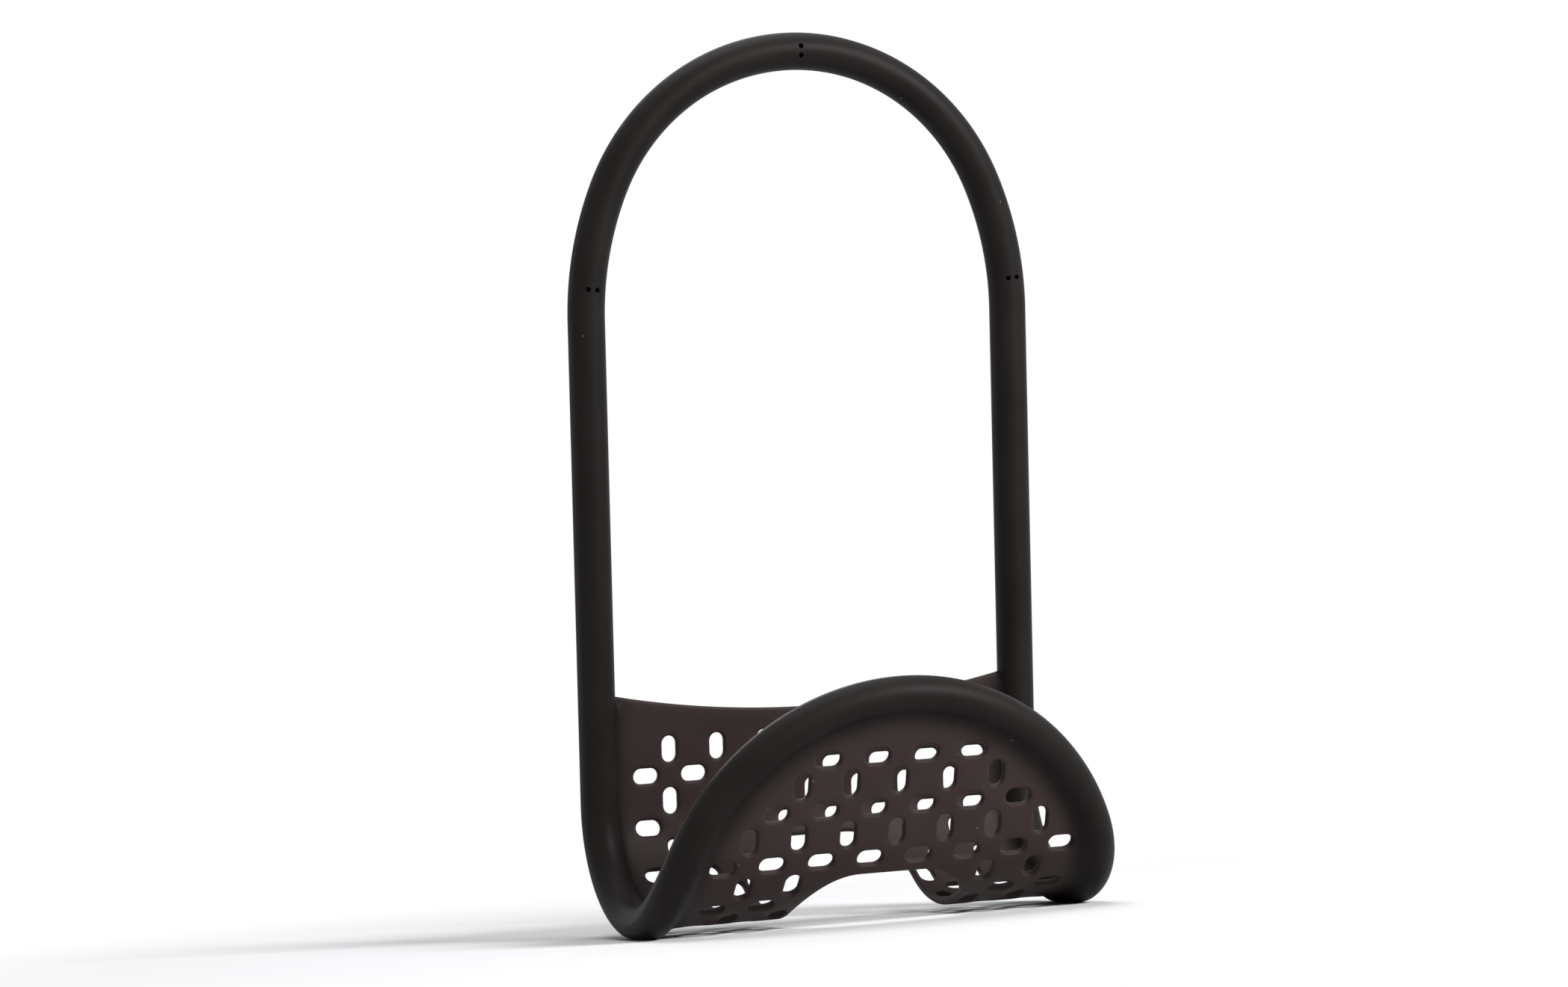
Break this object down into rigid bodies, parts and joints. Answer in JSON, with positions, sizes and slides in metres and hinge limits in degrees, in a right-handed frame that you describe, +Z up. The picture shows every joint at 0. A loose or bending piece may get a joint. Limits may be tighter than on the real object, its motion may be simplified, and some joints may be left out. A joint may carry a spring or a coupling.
{
  "type": "sponge holder",
  "caption": "Free-standing sponge holder: a bendable rubber-covered wire loop forms an arched handle and a half-round rim, with a slotted U-shaped basket between them.",
  "frame": {"origin": "middle of the overall box, on the surface that the holder stands on", "axes": "+Z up, with the handle's legs 6.5 degrees forward of it as it stands balanced, the basket's low front rim towards -Y, the legs spread along X"},
  "size_m": [0.1492, 0.0864, 0.2677],
  "materials": {
    "rubber": "matt black moulded rubber",
    "wire": "drawn and annealed",
    "ferrule": "crimped"
  },
  "bodies": {
    "basket": {"basket_moulding": "rubber", "basket_wire": "wire", "wire_tail": "wire", "wire_ferrule": "ferrule", "lower_bend_sleeve": "rubber", "lower_bend_wire": "wire"},
    "lower_legs": {"left_lower_leg_sleeve": "rubber", "right_lower_leg_sleeve": "rubber", "left_lower_leg_wire": "wire", "right_lower_leg_wire": "wire", "middle_bend_sleeve": "rubber", "middle_bend_wire": "wire"},
    "upper_legs": {"left_upper_leg_sleeve": "rubber", "right_upper_leg_sleeve": "rubber", "left_upper_leg_wire": "wire", "right_upper_leg_wire": "wire", "upper_bend_sleeve": "rubber", "upper_bend_wire": "wire"},
    "arch": {"arch_sleeve": "rubber", "arch_wire": "wire"}
  },
  "joints": [
    {"name": "lower_bend", "type": "hinge", "parent": "basket", "child": "lower_legs", "pos_m": [0, 0.03182, 0.08861], "axis": [-1, 0, 0], "range_deg": [-30, 60], "deforming": ["lower_bend_sleeve", "lower_bend_wire"]},
    {"name": "middle_bend", "type": "hinge", "parent": "lower_legs", "child": "upper_legs", "pos_m": [0, 0.02684, 0.13234], "axis": [-1, 0, 0], "range_deg": [-30, 60], "deforming": ["middle_bend_sleeve", "middle_bend_wire"]},
    {"name": "upper_bend", "type": "hinge", "parent": "upper_legs", "child": "arch", "pos_m": [0, 0.02186, 0.17608], "axis": [-1, 0, 0], "range_deg": [-30, 60], "deforming": ["upper_bend_sleeve", "upper_bend_wire"]}
  ]
}
